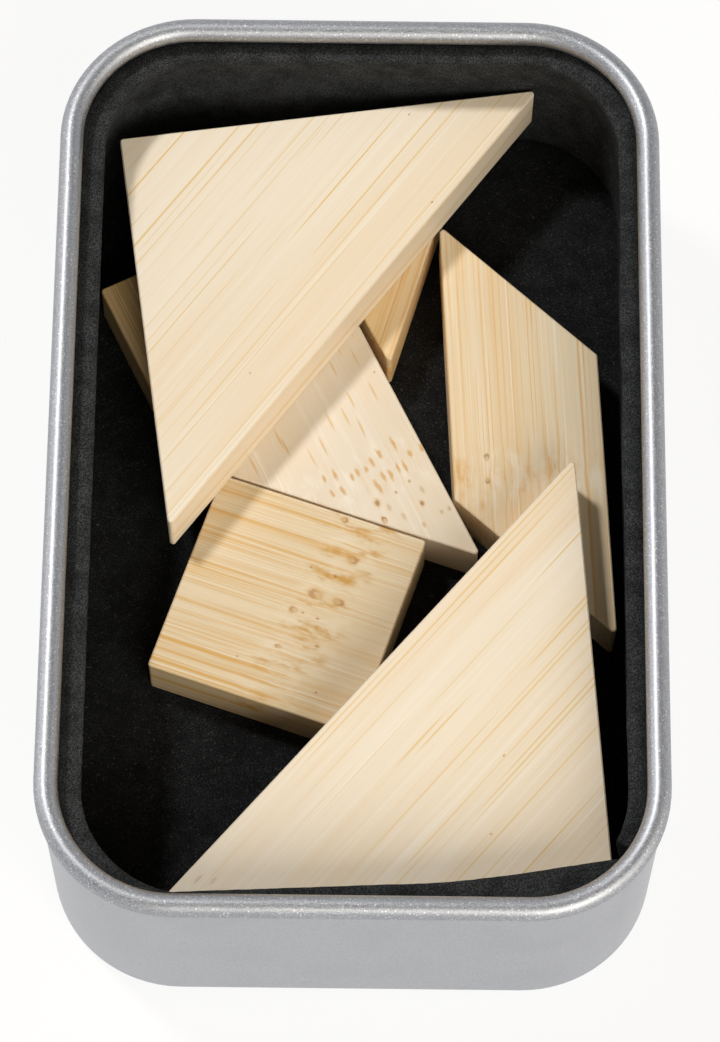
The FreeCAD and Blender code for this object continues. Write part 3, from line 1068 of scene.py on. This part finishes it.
@dataclass
class DustSpecks:
    """Specks of dust on the foam, scattered by a node tree with named inputs."""

    per_square_mm: float = 0.11
    smallest: float = 0.018
    largest: float = 0.056
    seed: int = 7

    def tree(self) -> bpy.types.NodeTree:
        """Builds the scattering tree.

        Returns:
            The tree, with inputs for the density, sizes, seed and material.
        """
        group = bpy.data.node_groups.new("dust_specks", "GeometryNodeTree")
        inputs = {"Geometry": "Geometry", "Density": "Float", "Smallest": "Float",
                  "Largest": "Float", "Seed": "Int", "Material": "Material"}
        add = group.interface.new_socket
        for name, kind in inputs.items():
            add(name, in_out="INPUT", socket_type=f"NodeSocket{kind}")
        add("Geometry", in_out="OUTPUT", socket_type="NodeSocketGeometry")
        given, scatter, speck, size, turn, place, solid, dress, result = (
            group.nodes.new(kind) for kind in (
                "NodeGroupInput", "GeometryNodeDistributePointsOnFaces",
                "GeometryNodeMeshIcoSphere", "FunctionNodeRandomValue",
                "FunctionNodeRandomValue", "GeometryNodeInstanceOnPoints",
                "GeometryNodeRealizeInstances", "GeometryNodeSetMaterial", "NodeGroupOutput"))
        speck.inputs["Radius"].default_value = 1.0
        speck.inputs["Subdivisions"].default_value = 1
        turn.data_type = "FLOAT_VECTOR"
        turn.inputs["Max"].default_value = (math.tau, math.tau, math.tau)
        for source, output, target, socket in (
                (given, "Geometry", scatter, "Mesh"), (given, "Density", scatter, "Density"),
                (given, "Seed", scatter, "Seed"), (given, "Smallest", size, 2),
                (given, "Largest", size, 3), (given, "Seed", size, "Seed"),
                (scatter, "Points", place, "Points"), (speck, "Mesh", place, "Instance"),
                (turn, 0, place, "Rotation"), (size, 1, place, "Scale"),
                (place, "Instances", solid, "Geometry"), (solid, "Geometry", dress, "Geometry"),
                (given, "Material", dress, "Material"), (dress, "Geometry", result, "Geometry")):
            group.links.new(source.outputs[output], target.inputs[socket])
        return group

    def build(self, carriers: list[Piece], material: Material) -> Piece:
        """Scatters the specks over the foam.

        Args:
            carriers: The foam pieces.
            material: The dust.

        Returns:
            The specks as one plain mesh.
        """
        form = bmesh.new()
        for carrier in carriers:
            form.from_mesh(carrier.data)
        ground = bpy.data.meshes.new("speck_ground")
        form.to_mesh(ground)
        form.free()
        holder = add_object("speck_holder", ground)
        modifier = holder.modifiers.new("specks", "NODES")
        modifier.node_group = self.tree()
        values = {"Density": self.per_square_mm / MM ** 2, "Smallest": self.smallest * MM,
                  "Largest": self.largest * MM, "Seed": self.seed, "Material": material}
        for item in modifier.node_group.interface.items_tree:
            if item.in_out == "INPUT" and item.name in values:
                modifier[item.identifier] = values[item.name]
        bpy.context.view_layer.update()
        shown = holder.evaluated_get(bpy.context.evaluated_depsgraph_get())
        mesh = bpy.data.meshes.new_from_object(shown)
        holder.modifiers.remove(modifier)
        bpy.data.objects.remove(holder)
        specks = add_object("dust_specks", mesh)
        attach(specks, "root")
        LOG.info("dust_specks: %d faces", len(mesh.polygons))
        return specks


@dataclass(frozen=True)
class Lamp:
    """A round lamp that faces the tin, which stands at the origin.

    direction is the way to it, distance and size are in metres, and power is in watts.
    """

    name: str
    direction: Triple
    distance: float
    size: float
    power: float
    tint: Triple = (1.0, 1.0, 1.0)

    def hang(self) -> None:
        """Hangs the lamp so that it faces the tin."""
        data = bpy.data.lights.new(self.name, "AREA")
        data.shape = "DISK"
        data.size = self.size
        data.energy = self.power
        data.color = self.tint
        lamp = bpy.data.objects.new(self.name, data)
        away = Vector(self.direction).normalized()
        lamp.location = away * self.distance
        lamp.rotation_euler = away.to_track_quat("Z", "Y").to_euler()
        bpy.context.scene.collection.objects.link(lamp)


@dataclass
class Studio:
    """The white table, the white surround, the lamps and the camera.

    Metal sees the surround white below the horizon level and at the ceiling's strength above the
    zenith level, each as the height of the way there. table_size and nearest are in metres.
    """

    table_size: float = 2.4
    table_gap: float = 0.02
    ambient: float = 0.16
    ambient_tint: Colour = (1.0, 0.84, 0.55, 1.0)
    horizon: float = 0.35
    zenith: float = 0.95
    ceiling: float = 0.28
    lamps: tuple[Lamp, ...] = (
        Lamp("key_lamp", (-0.46, 0.375, 1.0), 1.5, 0.20, 10.4, (1.0, 0.985, 0.95)),
        Lamp("front_lamp", (0.54, -1.13, 1.0), 1.0, 0.62, 5.9, (1.0, 0.95, 0.84)),
        Lamp("side_lamp", (1.7, -0.9, 1.0), 1.0, 0.90, 2.1, (1.0, 0.92, 0.78)),
        Lamp("left_lamp", (-1.5, 0.35, 0.60), 1.0, 0.30, 0.9),
    )
    target: Triple = (0.52, 3.89, 0.0)
    distance: float = 505.1
    elevation: float = 67.62
    yaw: float = -0.04
    roll: float = 0.67
    lens: float = 142.93
    sensor: float = 36.0
    nearest: float = 0.01

    def table(self) -> Piece:
        """Lays the table under the tin.

        Returns:
            The table.
        """
        half = self.table_size / 2
        corners = [(-half, -half, 0), (half, -half, 0), (half, half, 0), (-half, half, 0)]
        mesh = bpy.data.meshes.new("table")
        mesh.from_pydata(corners, [], [(0, 1, 2, 3)])
        made = add_object("table", mesh, TableFinish().material())
        made.location.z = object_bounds()[0].z - self.table_gap * MM
        made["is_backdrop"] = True
        return made

    def surround(self) -> None:
        """Makes the world white to the camera, to metal and to glass, and dim as a lamp."""
        tree = ShaderTree("white_surround", world=True)
        level = tree.parts(tree.node("TexCoord").outputs["Generated"])[2]
        grey = tree.node("MapRange", level, self.horizon, self.zenith, 1.0, self.ceiling)
        rays = tree.node("LightPath").outputs
        shown = tree.math("MAXIMUM", grey.outputs[0], rays["Is Camera Ray"])
        dim = tree.node("Background", self.ambient_tint, self.ambient)
        white = tree.node("Background", None, shown)
        blend = tree.node("MixShader", tree.seen(), dim.outputs[0], white.outputs[0])
        tree.node("OutputWorld", blend.outputs[0])
        bpy.context.scene.world = tree.owner

    def camera(self) -> None:
        """Sets the camera at the photograph's angle."""
        data = bpy.data.cameras.new("camera")
        data.lens = self.lens
        data.sensor_width = self.sensor
        data.clip_start = self.nearest
        camera = bpy.data.objects.new("camera", data)
        turn = (Matrix.Rotation(math.radians(self.yaw), 4, "Z")
                @ Matrix.Rotation(math.radians(90 - self.elevation), 4, "X")
                @ Matrix.Rotation(math.radians(self.roll), 4, "Z"))
        back = turn @ Vector((0, 0, self.distance * MM))
        camera.matrix_world = Matrix.Translation(Vector(self.target) * MM + back) @ turn
        bpy.context.scene.collection.objects.link(camera)
        bpy.context.scene.camera = camera

    def build(self) -> None:
        """Sets up the whole studio."""
        self.table()
        self.surround()
        for lamp in self.lamps:
            lamp.hang()
        self.camera()
        bpy.context.scene.view_settings.view_transform = "Standard"
        LOG.info("studio: ready")


def board_finishes() -> tuple[BambooFinish, ...]:
    """Lists the seven boards' finishes, each with its own grain and marks.

    Returns:
        The finishes.
    """
    sparse = (Strands(0.60, 0.095, 0.85, pale=0.25), Strands(0.38, 0.05, 0.5, pale=0.6))
    faint = (Strands(0.70, 0.10, 0.7, pale=0.25), Strands(0.42, 0.05, 0.4, pale=0.65))
    dense = (Strands(0.75, 0.13, 0.8, pale=0.15), Strands(0.36, 0.07, 0.65, pale=0.35))
    woven = (Strands(0.75, 0.13, 0.85, pale=0.15), Strands(0.36, 0.08, 0.7, pale=0.45),
             Strands(0.22, 0.05, 0.5, pale=0.5))
    dashes = ((-13.3, 6.8, 0.6), (-13.5, 5.6, 0.65), (-11.2, 7.0, 0.6), (-11.2, 5.6, 0.75),
              (-12.4, 4.1, 0.55), (-12.1, 3.2, 0.6), (-12.2, 2.0, 0.5), (-11.6, 1.0, 0.7),
              (-11.1, -0.3, 0.8), (-10.7, -2.3, 1.1), (-12.6, -3.6, 0.55), (-12.5, -5.1, 0.6),
              (-13.9, 0.6, 0.7), (-14.1, -0.3, 0.8), (-13.7, -1.5, 0.7), (-13.9, -2.4, 0.9),
              (-14.8, 1.8, 1.1))
    return (
        BambooFinish(
            Board.LARGE_FAR, 53.0, 3.1, sparse, warming=-0.012,
            pits=(Pit(-12.8, 1.3, 0.10, 0.4), Pit(26.1, 7.2, 0.10, 0.5),
                  Pit(18.3, -2.2, 0.10, 0.6))),
        BambooFinish(
            Board.LARGE_NEAR, 49.0, 8.7, faint,
            pits=(Pit(-32.5, 0.3, 0.22, 0.22, 3.0), Pit(-31.5, -1.1, 0.18, 0.2, 3.0),
                  Pit(1.4, -16.0, 0.10, 0.6), Pit(-6.7, -21.0, 0.09, 0.5))),
        BambooFinish(
            Board.MEDIUM, 116.0, 5.3, (Strands(1.0, 0.09, 0.25, pale=0.5),),
            fibre=0.07, streaks=0.08,
            pale=srgb(238, 229, 218), warm=srgb(235, 221, 203),
            joint=StemJoint(-13.2, 0.0, 4.2, strokes=0.7, stain=0.2, dashes=dashes),
            pits=(Pit(-16.7, 2.7, 0.30, 0.7), Pit(-19.0, 2.9, 0.26, 0.75, 1.5, 0.5),
                  Pit(-19.0, -2.1, 0.24, 0.7), Pit(-16.4, 0.1, 0.14, 0.5),
                  Pit(-15.8, -2.0, 0.14, 0.5), Pit(-21.0, -3.7, 0.20, 0.3),
                  Pit(-21.0, -4.7, 0.20, 0.3), Pit(-21.6, -1.1, 0.22, 0.3),
                  Pit(-17.8, 1.7, 0.24, 0.25, 2.0), Pit(-19.6, 0.6, 0.24, 0.25, 2.0),
                  Pit(-17.4, -2.9, 0.22, 0.25, 2.0), Pit(-1.2, -4.4, 0.10, 0.5))),
        # Painted shade: the small left board gets darker, warmer colours than the others, for the
        # deep shadow it lies in.
        BambooFinish(
            Board.SMALL_LEFT, -63.0, 6.9, dense, streaks=0.4,
            pale=srgb(222, 190, 136), warm=srgb(214, 178, 120),
            streak=srgb(204, 156, 84)),
        BambooFinish(
            Board.SMALL_BACK, 73.0, 2.2, dense, streaks=0.6,
            pale=srgb(236, 208, 160), warm=srgb(232, 196, 142),
            streak=srgb(212, 151, 74)),
        BambooFinish(
            Board.SQUARE, -18.7, 1.4, woven, streaks=0.25,
            pale=srgb(227, 208, 177), warm=srgb(224, 200, 162),
            whitish=srgb(240, 228, 207), streak=srgb(216, 168, 86),
            brown=srgb(166, 116, 52), halo=srgb(208, 158, 82), stain=srgb(204, 157, 80),
            bands=(Band(10.9, 0.32, 0.75), Band(8.2, 0.22, 0.8), Band(5.9, 0.26, 0.6),
                   Band(0.6, 0.22, 0.75), Band(-3.9, 0.28, 0.6), Band(-6.4, 0.32, 0.55),
                   Band(-8.9, 0.34, 0.9), Band(-10.2, 0.24, 0.8), Band(-11.6, 0.32, 0.95)),
            joint=StemJoint(3.6, 0.15, 5.4, stain=1.0, calm=0.5, swirl=0.3),
            pits=(Pit(2.9, 12.1, 0.26, 0.6, 1.4, 0.6), Pit(5.5, 7.7, 0.36, 0.6, 1.5, 0.5),
                  Pit(4.1, 4.9, 0.18, 0.7, 1.2, 0.6), Pit(1.1, 5.1, 0.10, 0.5),
                  Pit(2.7, 2.1, 0.42, 0.55, 1.8, -0.6), Pit(5.7, 2.0, 0.36, 0.65, 1.6, 0.4),
                  Pit(0.9, -0.7, 0.30, 0.55, 1.5, -0.6), Pit(2.1, -0.7, 0.10, 0.5),
                  Pit(4.0, -0.8, 0.11, 0.6), Pit(0.8, -5.6, 0.20, 0.55, 1.7, -0.5),
                  Pit(5.1, -4.0, 0.16, 0.55), Pit(6.9, -9.5, 0.10, 0.6),
                  Pit(-3.3, -8.3, 0.09, 0.5))),
        BambooFinish(
            Board.PARALLELOGRAM, -87.0, 4.6, dense, streaks=0.25,
            pale=srgb(241, 225, 197), warm=srgb(238, 216, 182),
            streak=srgb(232, 184, 109), stain=srgb(222, 172, 98),
            joint=StemJoint(6.5, 0.0, 4.0, stain=0.75),
            pits=(Pit(3.8, -5.0, 0.28, 0.6, 1.3, -0.6),
                  Pit(6.9, -5.0, 0.28, 0.65, 1.1, 0.5))),
    )


def main() -> None:
    """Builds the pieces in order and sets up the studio."""
    logging.basicConfig(level=logging.INFO, format="%(name)s %(message)s")
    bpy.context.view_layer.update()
    TinBase().dress()
    Boards(board_finishes()).dress()
    pad = FoamPad().build(FoamFinish("pad_foam").material())
    # Painted light: the strip's foam is 2.4 times lighter than the pad's, for the light its faces
    # catch.
    strip = FoamStrip().build(FoamFinish("strip_foam_painted_light", painted_light_gain=2.4).material())
    DustSpecks().build([pad, strip], DustFinish().material())
    Studio().build()


if __name__ == "__main__":
    main()
